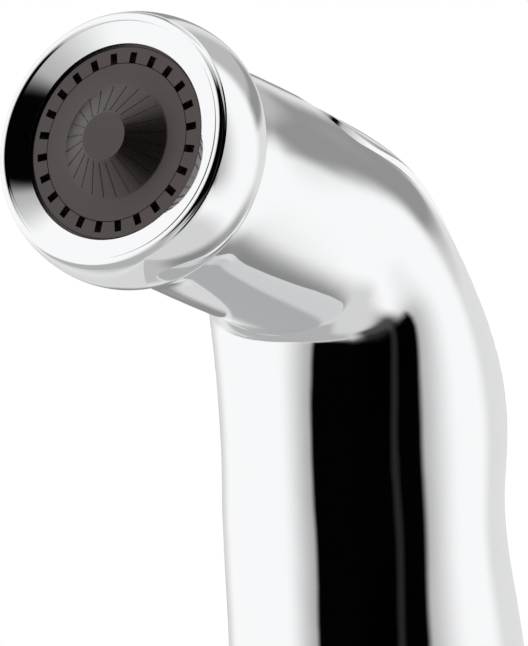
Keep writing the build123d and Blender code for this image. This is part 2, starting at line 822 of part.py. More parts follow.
with BuildPart() as return_spring:
    with BuildLine() as wire_path:
        for quarter in range(4 * spring_turns):
            here, there = coil_point(quarter / 4), coil_point((quarter + 1) / 4)
            leave, arrive = coil_tangent(quarter / 4), coil_tangent((quarter + 1) / 4)
            # two arcs that share a tangent where they meet
            span = there - here
            a = 2 - 2 * leave.dot(arrive)
            b = 2 * span.dot(leave + arrive)
            reach = (sqrt(b * b + 4 * a * span.dot(span)) - b) / (2 * a)
            middle = (here + leave * reach + there - arrive * reach) * 0.5
            first = TangentArc(here, middle, tangent=leave)
            TangentArc(middle, there, tangent=first % 1)
    with BuildSketch(Plane(origin=wire_path.line @ 0, z_dir=wire_path.line % 0)):
        Circle(spring_wire)
    sweep(path=wire_path.line)
return_spring.part.label = "return_spring"
export_step(return_spring.part, "parts/return_spring.step")
pitch = (coil_point(1) - coil_point(0)).length
print("spring pitch", round(pitch, 2), "gap between turns", round(pitch - 2 * spring_wire, 2))

# ---------------------------------------------------------------- thumb lever
def above_nose(drop):
    """Side view of all that lies above the nose's slope, or this far under it."""
    with BuildSketch(lever_side) as side:
        with BuildLine():
            start, end = Vector(-lever_nose - 1, nose_low - drop), Vector(nose_run, nose_high - drop)
            middle = (start + end) / 2 + Vector(0, nose_crown)
            ThreePointArc(start, middle, end)
            Polyline(end, (end.X, 20), (start.X, 20), start)
        make_face()
    return side.sketch


with BuildPart() as lever_pocket:
    with BuildSketch(lever_plane.offset(-cut_depth)):
        add(blade(lever_nose, -lever_side_wall))
    extrude(amount=cut_depth + cut_rise)
    add(form(-lever_skin, lever=1), mode=Mode.INTERSECT)
    extrude(above_nose(lever_skin), lever_half_width, both=True, mode=Mode.SUBTRACT)

with BuildPart() as lever_ears:
    with BuildSketch(lever_side):
        Circle(ear_radius)
        with BuildLine():
            Polyline((-ear_radius, 0), (-3.2, 6), (8, 12), (ear_radius, 0), close=True)
        make_face()
    extrude(amount=ear_outer, both=True)
    with BuildSketch(lever_side):
        Rectangle(2 * lever_length, 2 * lever_length)
    extrude(amount=ear_inner, both=True, mode=Mode.SUBTRACT)
    # boss that presses the valve's button
    with BuildSketch(lever_plane.offset(valve_rise + face_gap)):
        with Locations((0, valve_arm)):
            Circle(pad_radius)
    extrude(amount=5, taper=-20)
    # rib between the ears and the boss
    with BuildSketch(lever_plane.offset(valve_rise + face_gap)):
        with Locations((0, valve_arm / 2 + 3)):
            Rectangle(1.4, valve_arm - 8)
    extrude(amount=5)
    add(form(-lever_skin / 2, lever=1), mode=Mode.INTERSECT)

# room in the lever's rim for the body's lugs
with BuildPart() as lug_room:
    extrude(lug_outline(lug_gap), lug_inner + lug_width + lug_gap, both=True)
    with BuildSketch(lever_side):
        Rectangle(2 * lever_length, 2 * lever_length)
    extrude(amount=ear_outer, both=True, mode=Mode.SUBTRACT)

with BuildPart() as thumb_lever:
    with BuildSketch(lever_plane.offset(-cut_depth)):
        add(blade(lever_nose))
    extrude(amount=cut_depth + cut_rise)
    add(form(lever=1), mode=Mode.INTERSECT)
    add(form(-lever_rim, lever=1), mode=Mode.SUBTRACT)
    add(lever_pocket.part, mode=Mode.SUBTRACT)
    add(lever_ears.part)
    add(lug_room.part, mode=Mode.SUBTRACT)
    extrude(above_nose(0), lever_half_width, both=True, mode=Mode.SUBTRACT)
    with BuildSketch(lever_side):
        Circle(pin_radius + running_fit)
    extrude(amount=ear_outer, both=True, mode=Mode.SUBTRACT)
thumb_lever.part.label = "thumb_lever"
export_step(thumb_lever.part, "parts/thumb_lever.step")
print("lever", round(thumb_lever.part.volume), "solids", len(thumb_lever.part.solids()))

with BuildPart() as lever_pin:
    with BuildSketch(lever_side):
        Circle(pin_radius)
    extrude(amount=lug_inner + lug_width, both=True)
lever_pin.part.label = "lever_pin"
export_step(lever_pin.part, "parts/lever_pin.step")

# ---------------------------------------------------------------- hose inlet
with BuildPart() as inlet_adapter:
    mouth = -seat_length + adapter_recess
    stop = feed_bottom - washer_thickness
    seal_at = -1.5
    adapter_section = [
        (mouth, inlet_radius),
        (mouth, adapter_radius),
        (seal_at - 1, adapter_radius),
        (seal_at - 1, adapter_radius - 1.3),
        (seal_at + 1, adapter_radius - 1.3),
        (seal_at + 1, adapter_radius),
        (floor, adapter_radius),
        (adapter_top, adapter_radius - 1.5),
        (adapter_top, tube_radius + push_fit),
        (stop, tube_radius + push_fit),
        (stop, tube_bore),
        (mouth + inlet_depth, tube_bore),
        (mouth + inlet_depth, inlet_radius),
    ]
    turn(handle_side, Axis.Z, adapter_section)
inlet_adapter.part.label = "inlet_adapter"
export_step(inlet_adapter.part, "parts/inlet_adapter.step")

with BuildPart() as inlet_seal:
    with BuildSketch(handle_side):
        with Locations((seal_at, adapter_radius - 0.6)):
            Circle(0.65)
    revolve(axis=Axis.Z)
inlet_seal.part.label = "inlet_seal"
export_step(inlet_seal.part, "parts/inlet_seal.step")
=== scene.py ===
# %% [markdown]
# # A chrome hand spray with a thumb lever
#
# The construction of this hand spray is ready: every piece is there at its real size and place.
# This lesson gives it its looks. It places the camera, smooths the chrome casing, models the spray
# head again with its fine edges, adds the hose thread, mixes a finish for each material, and ends with
# the white tent that the chrome reflects.

# %% Load the construction
import bpy
import numpy as np
from math import atan2, cos, hypot, pi, radians, sin
from mathutils import Matrix, Vector
from mathutils.bvhtree import BVHTree
from mathutils.interpolate import poly_3d_calc


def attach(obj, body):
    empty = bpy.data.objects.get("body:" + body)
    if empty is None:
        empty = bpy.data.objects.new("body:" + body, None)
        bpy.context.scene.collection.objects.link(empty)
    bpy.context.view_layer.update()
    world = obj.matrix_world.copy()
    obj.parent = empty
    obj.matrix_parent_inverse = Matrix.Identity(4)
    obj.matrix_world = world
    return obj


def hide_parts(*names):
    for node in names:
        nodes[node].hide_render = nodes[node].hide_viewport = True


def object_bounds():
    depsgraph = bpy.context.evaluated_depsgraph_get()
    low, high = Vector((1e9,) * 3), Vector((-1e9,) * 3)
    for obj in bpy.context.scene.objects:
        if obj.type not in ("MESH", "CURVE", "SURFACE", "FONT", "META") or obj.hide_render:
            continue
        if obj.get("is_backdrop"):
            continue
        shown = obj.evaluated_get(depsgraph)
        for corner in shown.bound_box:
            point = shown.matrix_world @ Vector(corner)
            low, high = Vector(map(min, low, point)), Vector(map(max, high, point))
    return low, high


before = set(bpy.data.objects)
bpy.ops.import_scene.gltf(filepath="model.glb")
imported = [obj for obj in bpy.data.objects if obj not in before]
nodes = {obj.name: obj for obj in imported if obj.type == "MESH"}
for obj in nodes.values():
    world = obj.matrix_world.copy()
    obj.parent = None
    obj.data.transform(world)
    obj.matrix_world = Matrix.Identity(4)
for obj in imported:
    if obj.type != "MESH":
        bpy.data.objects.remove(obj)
cad_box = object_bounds()
print("pieces loaded:", len(nodes))

# %% [markdown]
# ## Where the main features lie
#
# The spray face is turned round the spray axis, which leans back 20 degrees, and the handle stands
# upright. Every piece could be placed by eye, but a turned piece shows at once when it is off its axis.
# So the axis is written down once, with the sizes of the construction, and all that is turned uses it.

# %% The spray axis
MM = 0.001  # the scene is in metres, and the sizes below are written in millimetres
SPRAY_TILT = radians(20)
face_centre = Vector((0, -63.83, 104.005)) * MM
spray_back = Vector((0, cos(SPRAY_TILT), -sin(SPRAY_TILT)))
spray_up = Vector((0, sin(SPRAY_TILT), cos(SPRAY_TILT)))
print("spray face at", [round(c, 4) for c in face_centre])

# %% [markdown]
# ## The camera
#
# The picture is taken from in front, a little from the right and slightly above, with a long lens,
# which keeps the two ends of the neck nearly the same size. The camera could be aimed by hand until
# the picture looks right. Here its place, its three turns and its focal length were worked out from
# the round outlines of the spray face, because a wrong ellipse is what the eye finds first.

# %% Place the camera
VIEW_AZIMUTH, VIEW_ELEVATION, VIEW_ROLL = radians(31.03), radians(7.83), radians(-2.3)
CAMERA_PLACE = Vector((257.86, -456.0, 143.44)) * MM
camera_data = bpy.data.cameras.new("camera")
camera_data.sensor_width = 36
camera_data.lens = 197.76
camera_data.clip_start, camera_data.clip_end = 0.05, 20
camera = bpy.data.objects.new("camera", camera_data)
bpy.context.scene.collection.objects.link(camera)
bpy.context.scene.camera = camera
camera_back = Vector((
    sin(VIEW_AZIMUTH) * cos(VIEW_ELEVATION),
    -cos(VIEW_AZIMUTH) * cos(VIEW_ELEVATION),
    sin(VIEW_ELEVATION),
))
level_right = Vector((cos(VIEW_AZIMUTH), sin(VIEW_AZIMUTH), 0))
level_up = camera_back.cross(level_right)
camera_right = level_right * cos(VIEW_ROLL) + level_up * sin(VIEW_ROLL)
camera_up = level_up * cos(VIEW_ROLL) - level_right * sin(VIEW_ROLL)
camera_axes = Matrix((camera_right, camera_up, camera_back)).transposed()
camera.matrix_world = Matrix.Translation(CAMERA_PLACE) @ camera_axes.to_4x4()
print("camera at", [round(c, 3) for c in camera.location])

# %% [markdown]
# ## The true curve of the casing
#
# The casing of a hand spray is cast, polished until it has no dents, and plated with chrome, which
# shows the smallest ripple. The construction's mesh lies on the right surface, but its long flat
# triangles make the reflections jump. Cutting them finer would keep the jumps. So the surface is made
# a second time, as a fine net of even rings that nobody sees, and the casing borrows its direction
# from that net at each corner.
#
# The net goes through the same sections as the construction: ellipses that are square to the neck,
# fanned round the crotch, and level down the handle.

# %% Sizes of the sections
NECK_RADIUS, NECK_FRONT = 16.2, 7.0
HANDLE_FRONT, HANDLE_BACK, HANDLE_HALF_WIDTH, HANDLE_HEIGHT = 24.5, 24.1, 20.1, 70.7
HEEL_REACH, HEEL_HEIGHT, HEEL_SPREAD, HEEL_RISE = 11.5, 35.0, 1.2, 0.6
CROTCH_RADIUS, CROTCH_ANGLE = 2.5, 70.0
crotch = Vector((0, -HANDLE_FRONT - CROTCH_RADIUS, HANDLE_HEIGHT))
depth_growth = HANDLE_FRONT + HANDLE_BACK - 2 * NECK_RADIUS
width_growth = HANDLE_HALF_WIDTH - NECK_RADIUS
# distance behind the spray face, and depth added to the neck's
NECK_STATIONS = [(NECK_FRONT, 0.0), (15.0, -0.2), (26.0, 0.5)]
# angle round the crotch, share of the growth in depth and in width, and rise of the lever
BEND_STATIONS = [(CROTCH_ANGLE, 0.02, 0.2, 0.1), (48.0, 0.073, 0.42, 0.65),
                 (24.0, 0.264, 0.65, 0.42), (7.0, 0.518, 0.88, 0.4)]
# share of the handle's height, share of the growth in depth, and rise of the lever
HANDLE_STATIONS = [(0.92, 0.915, 0.44), (0.74, 1.104, 0.7), (0.61, 0.986, 0.6)]
# share of the heel's height, and share of its reach
HEEL_STATIONS = [(1.0, 0.05), (0.66, 0.355), (0.31, 0.72), (0.0, 1.0)]
print("the handle is", round(depth_growth, 1), "mm deeper than the neck")


# %% The sections of the casing
def sections(lever):
    """Each section's centre, half width and half depth as vectors; lever 1 is the lever's surface."""
    found = []

    def section(inner, angle, depth, half_width, rise):
        out = Vector((0, cos(radians(angle)), sin(radians(angle))))
        half_depth = (depth + lever * rise) / 2
        wide = Vector((half_width + lever * rise, 0, 0))
        found.append((inner + out * half_depth, wide, out * half_depth))

    for run, extra in NECK_STATIONS:
        inner = face_centre / MM + spray_back * run - spray_up * NECK_RADIUS
        section(inner, CROTCH_ANGLE, 2 * NECK_RADIUS + extra, NECK_RADIUS, BEND_STATIONS[0][3])
    for angle, deeper, wider, rise in BEND_STATIONS:
        inner = crotch + Vector((0, cos(radians(angle)), sin(radians(angle)))) * CROTCH_RADIUS
        depth = 2 * NECK_RADIUS + depth_growth * deeper
        section(inner, angle, depth, NECK_RADIUS + width_growth * wider, rise)
    for share, deeper, rise in HANDLE_STATIONS:
        depth = 2 * NECK_RADIUS + depth_growth * deeper
        section(Vector((0, -HANDLE_FRONT, HANDLE_HEIGHT * share)), 0, depth, HANDLE_HALF_WIDTH, rise)
    for share, reach in HEEL_STATIONS:
        depth = HANDLE_FRONT + HANDLE_BACK + HEEL_REACH * reach
        half_width = HANDLE_HALF_WIDTH + HEEL_SPREAD * reach
        section(Vector((0, -HANDLE_FRONT, HEEL_HEIGHT * share)), 0, depth, half_width, HEEL_RISE)
    return found


print("sections:", len(sections(0)))


# %% [markdown]
# ### A spline through the sections
#
# Fourteen sections are too few for a smooth net. Straight lines between them would show as creases in
# the chrome, so a cubic spline through their centres and axes gives the rings between them. The
# spline bends evenly through each section, as the construction's own surface does.

# %% A spline through rows of numbers
def through(stops, rows, steps):
    """Cubic spline through rows of numbers at the stops, read at even steps."""
    rows = np.array(rows)
    gaps = np.diff(stops)
    count = len(stops)
    system, right = np.eye(count), np.zeros_like(rows)
    for i in range(1, count - 1):
        system[i, i - 1:i + 2] = gaps[i - 1], 2 * (gaps[i - 1] + gaps[i]), gaps[i]
        right[i] = 6 * ((rows[i + 1] - rows[i]) / gaps[i] - (rows[i] - rows[i - 1]) / gaps[i - 1])
    # the curve runs on unbroken through the second stop from each end
    system[0, :3] = 1 / gaps[0], -1 / gaps[0] - 1 / gaps[1], 1 / gaps[1]
    system[-1, -3:] = 1 / gaps[-2], -1 / gaps[-2] - 1 / gaps[-1], 1 / gaps[-1]
    bends = np.linalg.solve(system, right)
    read = []
    for where in np.linspace(stops[0], stops[-1], steps):
        i = min(int(np.searchsorted(stops, where, side="right")) - 1, count - 2)
        a, b = (stops[i + 1] - where) / gaps[i], (where - stops[i]) / gaps[i]
        curve = ((a**3 - a) * bends[i] + (b**3 - b) * bends[i + 1]) * gaps[i] ** 2 / 6
        read.append(a * rows[i] + b * rows[i + 1] + curve)
    return read


squares = through([0, 1, 2, 3], [[0.0], [1.0], [4.0], [9.0]], 7)
print("squares of every half:", [round(float(row[0]), 2) for row in squares])


# %% [markdown]
# ### The net of rings
#
# Each ring is a circle that is stretched to its section, and the rings are bridged into one skin. The
# construction's surface swells a millimetre out of this net near the foot. More sections could follow
# it there, but it is simpler to press the net onto the piece, like cling film, and even it out.

# %% Place the rings
RING_SIDES, RINGS = 160, 150  # so the faces of the net are about a millimetre wide


def rings(lever):
    """Adds circles stretched to the sections along the spline, and leaves them all selected."""
    rows = [[*centre, *wide, *deep] for centre, wide, deep in sections(lever)]
    steps = [(Vector(b[:3]) - Vector(a[:3])).length for a, b in zip(rows, rows[1:])]
    stops = np.concatenate([[0], np.cumsum(steps)])
    made = []
    for row in through(stops, rows, RINGS):
        centre, wide, deep = Vector(row[:3]), Vector(row[3:6]), Vector(row[6:9])
        bpy.ops.object.select_all(action="DESELECT")
        bpy.ops.mesh.primitive_circle_add(vertices=RING_SIDES, radius=1)
        ring = bpy.context.object
        axes = Matrix((wide, deep, wide.cross(deep).normalized())).transposed() * MM
        ring.matrix_world = Matrix.Translation(centre * MM) @ axes.to_4x4()
        made.append(ring)
    for ring in made:
        ring.select_set(True)


print("a net has", RING_SIDES * RINGS, "points")

# %% Bridge the rings and press the net onto its piece
PRESS_REACH = 1.9  # the net may be this far from the piece
EVEN_OUT, EVEN_ROUNDS = 0.5, 6


def net(node, lever):
    """The outer surface of a piece as a fine net of rings, for its directions only."""
    rings(lever)
    bpy.ops.object.join()
    made = bpy.context.object
    made.name = node + "_net"
    bpy.ops.object.transform_apply()
    bpy.ops.object.mode_set(mode="EDIT")
    bpy.ops.mesh.select_all(action="SELECT")
    bpy.ops.mesh.bridge_edge_loops()
    bpy.ops.mesh.normals_make_consistent(inside=False)
    bpy.ops.object.mode_set(mode="OBJECT")
    bpy.ops.object.shade_smooth()
    press = made.modifiers.new("onto_piece", "SHRINKWRAP")
    press.target, press.wrap_method, press.project_limit = nodes[node], "PROJECT", PRESS_REACH * MM
    press.use_negative_direction = press.use_positive_direction = True
    press.cull_face, press.use_invert_cull = "FRONT", True  # never onto the inner wall
    bpy.ops.object.modifier_apply(modifier="onto_piece")
    even = made.modifiers.new("even", "SMOOTH")
    even.factor, even.iterations = EVEN_OUT, EVEN_ROUNDS
    bpy.ops.object.modifier_apply(modifier="even")
    return made


nets = {"body_shell": net("body_shell", 0), "thumb_lever": net("thumb_lever", 1)}
print("nets:", [len(made.data.polygons) for made in nets.values()], "faces")

# %% [markdown]
# ### Borrow the directions of the net
#
# Blender shades a corner by a direction that it works out from the faces round it, but the direction
# can also be given. A Data Transfer modifier could copy it from the net, but it would also bend the
# edges of the window and the inner wall. So each face is asked first: only a face that lies near the
# net, and points nearly the same way, borrows. The lever's rounded edge runs close to its surface, so
# its limits are narrower than the casing's.

# %% A way to borrow directions
EDGE_ANGLE = radians(25)


def direction_at(tree, surface, place):
    """The smooth direction of a net at the point nearest to a place."""
    nearest, _, index, _ = tree.find_nearest(place)
    around = [surface.vertices[i] for i in surface.polygons[index].vertices]
    weights = poly_3d_calc([point.co for point in around], nearest)
    return sum((point.normal * weight for point, weight in zip(around, weights)), Vector()).normalized()


def smoothed(node, name, near, alike):
    """A copy of a piece whose faces near the net, and alike in direction, point as the net does."""
    bpy.ops.object.select_all(action="DESELECT")
    piece = bpy.data.objects.new(name, nodes[node].data.copy())
    bpy.context.scene.collection.objects.link(piece)
    bpy.context.view_layer.objects.active = piece
    piece.select_set(True)
    bpy.ops.object.mode_set(mode="EDIT")
    bpy.ops.mesh.select_all(action="SELECT")
    bpy.ops.mesh.customdata_custom_splitnormals_clear()
    bpy.ops.mesh.remove_doubles(threshold=0.000001)
    bpy.ops.object.mode_set(mode="OBJECT")
    bpy.ops.object.shade_smooth_by_angle(angle=EDGE_ANGLE)
    mesh, surface = piece.data, nets[node].data
    corners = [corner.vector.copy() for corner in mesh.corner_normals]
    tree = BVHTree.FromObject(nets[node], bpy.context.evaluated_depsgraph_get())
    borrowed = 0
    for face in mesh.polygons:
        _, normal, _, distance = tree.find_nearest(face.center)
        if distance > near * MM or normal.dot(face.normal) < alike:
            continue
        borrowed += 1
        for loop in face.loop_indices:
            corner = mesh.vertices[mesh.loops[loop].vertex_index].co
            corners[loop] = direction_at(tree, surface, corner)
    mesh.normals_split_custom_set(corners)
    bpy.data.objects.remove(nets[node])
    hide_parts(node)
    print(name, "borrowed for", borrowed, "of", len(mesh.polygons), "faces")
    return piece


# %% The casing and the lever's cover
casing = smoothed("body_shell", "casing", 0.6, 0.88)
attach(casing, "root")
lever_cover = smoothed("thumb_lever", "lever_cover", 0.3, 0.93)
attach(lever_cover, "lever")


# %% [markdown]
# ## Turned pieces
#
# The bell, the slotted ring and the coned hub are round pieces. A cylinder could be given loop cuts
# until it has their outline, but they are made here as on a lathe: each is drawn as an outline of
# points, (along the spray axis, radius), and spun round that axis. An outline can be read back
# against the photograph, point by point.

# %% A curve between two points of an outline
def bezier(start, first, second, end, count):
    """Points of a curve from start to end, without the start itself."""
    points = [Vector(point) for point in (start, first, second, end)]
    shares = [(number + 1) / count for number in range(count)]
    return [
        tuple(
            points[0] * (1 - t) ** 3 + points[1] * 3 * t * (1 - t) ** 2
            + points[2] * 3 * t**2 * (1 - t) + points[3] * t**3
        )
        for t in shares
    ]


quarter = bezier((1, 0), (1, 0.55), (0.55, 1), (0, 1), 2)
print("a quarter of a circle in two steps:", [[round(c, 2) for c in point] for point in quarter])

# %% Spin an outline
SPIN_STEPS = 192


def turned(name, outline):
    """Spins an outline of (along, radius) points round the spray axis."""
    places = [
        face_centre + spray_back * (along * MM) + spray_up * (radius * MM) for along, radius in outline
    ]
    bpy.ops.object.select_all(action="DESELECT")
    bpy.ops.mesh.primitive_plane_add(size=MM)
    piece = bpy.context.object
    piece.name = name
    bpy.ops.object.mode_set(mode="EDIT")
    bpy.ops.mesh.select_all(action="SELECT")
    bpy.ops.mesh.merge(type="CENTER")
    bpy.ops.transform.translate(value=places[0])
    for start, end in zip(places, places[1:]):
        bpy.ops.mesh.extrude_region_move(TRANSFORM_OT_translate={"value": end - start})
    bpy.ops.mesh.select_all(action="SELECT")
    bpy.ops.mesh.spin(steps=SPIN_STEPS, angle=2 * pi, center=face_centre, axis=spray_back)
    bpy.ops.mesh.select_all(action="SELECT")
    bpy.ops.mesh.remove_doubles(threshold=0.000002)
    bpy.ops.mesh.normals_make_consistent(inside=False)
    bpy.ops.object.mode_set(mode="OBJECT")
    return piece


print("a turned piece has", SPIN_STEPS, "sides")


# %% Smooth shading with crisp edges
def shade(piece, angle=30):
    """Shades a piece smooth where its faces meet under this angle, and leaves its edges crisp."""
    bpy.ops.object.select_all(action="DESELECT")
    bpy.context.view_layer.objects.active = piece
    piece.select_set(True)
    bpy.ops.object.shade_smooth_by_angle(angle=radians(angle))


print("edges over 30 degrees stay crisp")

# %% [markdown]
# ## The chrome bell
#
# The bell is a thin chromed shell, whose front edge is rolled into a lip round a shallow funnel.
# A Bevel modifier could round its edges, but on a polished cone it leaves wrong reflections. So the lip
# and the shoulder are curves in the outline itself, and the funnel stays one straight cone, which
# gives it the wide dark crescent of the photograph.

# %% Turn the bell
BELL_RADIUS, BELL_BACK, FACE_BORE = 18.75, 10.3, 13.46
lip = bezier((-1.3, 16.2), (-1.6, 16.5), (-1.75, 17.1), (-1.0, 17.5), 12)
swell = bezier((-0.74, 17.64), (1.0, 18.36), (3.2, BELL_RADIUS), (5.15, BELL_RADIUS), 16)
taper = bezier((5.15, BELL_RADIUS), (7.05, BELL_RADIUS), (8.8, 18.4), (9.8, 17.6), 14)
back_edge = bezier((9.8, 17.6), (10.1, 17.36), (BELL_BACK, 17.2), (BELL_BACK, 17.0), 4)
bell = turned("bell", [
    (-0.14, FACE_BORE), (-1.26, 16.1), (-1.3, 16.2), *lip,  # the funnel and its lip
    (-0.86, 17.48), (-0.74, 17.64), *swell, *taper, *back_edge,  # a fine groove and the outside
    (BELL_BACK, 16.65), (5.2, 16.65), (5.2, 14.4), (1.05, 14.4), (1.05, FACE_BORE),  # the inside
    (-0.14, FACE_BORE),
])
shade(bell)
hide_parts("spray_bell")
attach(bell, "root")
print("bell:", len(bell.data.polygons), "faces")

# %% [markdown]
# ## The black spray face
#
# The spray face is two plastic mouldings: a ring with 24 slots that let the water out, and a hub with
# a raised cone. A slot could be painted on as a dark patch, but a real one shows its wall from the
# side. So one bar is set before each slot, and all the bars are cut out of the turned ring at once.

# %% Bars set round the spray axis
SLOTS = 24
FIRST_SLOT = 0.25  # the first slot stands a quarter of a step past the top


def bars(name, along, radius, size, slope=0.0):
    """One bar for each slot; size is (across, outwards, along the axis)."""
    bpy.ops.object.select_all(action="DESELECT")
    made = []
    for number in range(SLOTS):
        turn = radians((number + FIRST_SLOT) * 360 / SLOTS)
        outwards = spray_up * cos(turn) + Vector((1, 0, 0)) * sin(turn)
        across = outwards.cross(spray_back)
        leaning = outwards * cos(slope) + spray_back * sin(slope)
        upright = across.cross(leaning)
        bpy.ops.mesh.primitive_cube_add(size=1)
        bar = bpy.context.object
        axes = Matrix((across * size[0], leaning * size[1], upright * size[2])).transposed()
        place = face_centre + spray_back * (along * MM) + outwards * (radius * MM)
        bar.matrix_world = Matrix.Translation(place) @ (axes * MM).to_4x4()
        made.append(bar)
    for bar in made:
        bar.select_set(True)
    bpy.ops.object.join()
    bpy.ops.object.transform_apply()
    bpy.context.object.name = name
    return bpy.context.object


print("bars are", 360 / SLOTS, "degrees apart")

# %% The slotted ring
SET_BACK = 0.3  # the spray face lies this far inside the bell
SEAM_RADIUS, RING_RADIUS, RING_FLANGE = 10.9, 13.12, 14.25
SLOT_PLACE, SLOT_WIDTH, SLOT_LENGTH, SLOT_CUT = SEAM_RADIUS + 0.45, 1.02, 2.0, 6
slotted_ring = turned("slotted_ring", [
    (SET_BACK, SEAM_RADIUS), (SET_BACK, RING_RADIUS - 0.1), (SET_BACK + 0.1, RING_RADIUS),
    (1.1, RING_RADIUS), (1.1, RING_FLANGE), (2.3, RING_FLANGE), (2.3, SEAM_RADIUS),
    (SET_BACK, SEAM_RADIUS),
])
slots = bars("slots", 1, SLOT_PLACE, (SLOT_WIDTH, SLOT_LENGTH, SLOT_CUT))
bpy.ops.object.select_all(action="DESELECT")
bpy.context.view_layer.objects.active = slotted_ring
slotted_ring.select_set(True)
cut = slotted_ring.modifiers.new("slots", "BOOLEAN")
cut.object, cut.operation, cut.solver = slots, "DIFFERENCE", "EXACT"
bpy.ops.object.modifier_apply(modifier="slots")
bpy.data.objects.remove(slots)
shade(slotted_ring)
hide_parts("spray_ring")
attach(slotted_ring, "root")
print("slotted ring:", len(slotted_ring.data.polygons), "faces")

# %% [markdown]
# ## The coned hub
#
# The middle of the face is a low, flat-topped cone with fine ridges down its slope. A primitive cone
# would have knife-sharp edges and no plate round it, so the hub is turned like the bell, with a small
# chamfer at each edge. The ridges are the same bars as the slots, made much thinner and laid down the
# slope, and they are joined to the hub because they are one moulding.

# %% The coned hub
CONE_TOP, CONE_RADIUS, CONE_TOP_RADIUS = -2.8, 7.9, 3.5
coned_hub = turned("coned_hub", [
    (CONE_TOP, 0), (CONE_TOP, CONE_TOP_RADIUS - 0.25), (CONE_TOP + 0.12, CONE_TOP_RADIUS),
    (SET_BACK - 0.12, CONE_RADIUS - 0.1), (SET_BACK, CONE_RADIUS + 0.2), (SET_BACK, 10.8),
    (1.8, 10.8), (1.8, 2.5), (4.9, 2.5), (4.9, 1.25), (1.8, 1.25), (1.8, 0),
])
shade(coned_hub, 24)
print("coned hub:", len(coned_hub.data.polygons), "faces")

# %% The ridges on the cone
RIDGE_TOP, RIDGE_FOOT = (-2.7, 3.55), (0.1, 7.75)  # the ends of the slope, (along, radius)
RIDGE_WIDTH, RIDGE_HEIGHT, RIDGE_SHARE = 0.16, 0.05, 0.96  # a ridge stops short of both ends
rise, run = RIDGE_FOOT[0] - RIDGE_TOP[0], RIDGE_FOOT[1] - RIDGE_TOP[1]
middle = ((RIDGE_TOP[0] + RIDGE_FOOT[0]) / 2, (RIDGE_TOP[1] + RIDGE_FOOT[1]) / 2)
ridge_size = (RIDGE_WIDTH, hypot(rise, run) * RIDGE_SHARE, RIDGE_HEIGHT)
ridges = bars("ridges", *middle, ridge_size, slope=atan2(rise, run))
shade(ridges)
bpy.ops.object.select_all(action="DESELECT")
ridges.select_set(True)
coned_hub.select_set(True)
bpy.context.view_layer.objects.active = coned_hub
bpy.ops.object.join()
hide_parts("spray_hub")
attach(coned_hub, "root")
print("coned hub with ridges:", len(coned_hub.data.polygons), "faces")

# %% [markdown]
# ## The hose thread
#
# The hose screws into the brass adapter at the foot. Rings stacked up the bore would look like a
# thread from afar, but a thread is one ridge that winds. So a small triangle is drawn once, and the
# Screw modifier winds it up the bore.

# %% Thread in the adapter's bore
PITCH, THREAD_TURNS = 1.337, 5  # G1/4, 19 threads to the inch
THREAD_RADIUS, THREAD_SIZE, THREAD_FOOT = 6.36, 0.45, -14.4
bpy.ops.object.select_all(action="DESELECT")
bpy.ops.mesh.primitive_circle_add(vertices=3, radius=THREAD_SIZE * MM, fill_type="NOTHING")
thread = bpy.context.object
thread.name = "hose_thread"
thread.matrix_world = Matrix((
    (0, -1, 0, THREAD_RADIUS * MM), (0, 0, -1, 0), (1, 0, 0, THREAD_FOOT * MM), (0, 0, 0, 1),
))
bpy.ops.object.transform_apply()
winding = thread.modifiers.new("winding", "SCREW")
winding.screw_offset, winding.iterations = PITCH * MM, THREAD_TURNS
winding.steps = winding.render_steps = 64
winding.use_merge_vertices = False
bpy.ops.object.modifier_apply(modifier="winding")
bpy.ops.object.mode_set(mode="EDIT")
bpy.ops.mesh.select_all(action="DESELECT")
bpy.ops.mesh.select_non_manifold()  # the open triangles at the thread's two ends
bpy.ops.mesh.edge_face_add()
bpy.ops.mesh.select_all(action="SELECT")
bpy.ops.mesh.normals_make_consistent(inside=False)
bpy.ops.object.mode_set(mode="OBJECT")
shade(thread)
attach(thread, "root")
print("thread:", [round(size * 1000, 1) for size in thread.dimensions], "mm")


# %% [markdown]
# ## Wires and finishes
#
# A procedural finish is a sum of simple patterns. It could be wired by hand in the node editor, but
# written as links it is hard to read. So a small class wraps a socket, +, - and * on it add Math
# nodes, and one method of a second class adds any other node.

# %% A socket that can be used in a sum
class Wire:
    """A socket of a shader node that can be used in a sum."""

    def __init__(self, maker, socket):
        self.maker, self.socket = maker, socket

    def _math(self, operation, first, second):
        return self.maker.node("ShaderNodeMath", {"operation": operation}, {0: first, 1: second})

    def __add__(self, other):
        return self._math("ADD", self, other)

    __radd__ = __add__

    def __mul__(self, other):
        return self._math("MULTIPLY", self, other)

    __rmul__ = __mul__

    def __sub__(self, other):
        return self._math("SUBTRACT", self, other)

    def __rsub__(self, other):
        return self._math("SUBTRACT", other, self)


print("a wire can be added, taken away and multiplied")


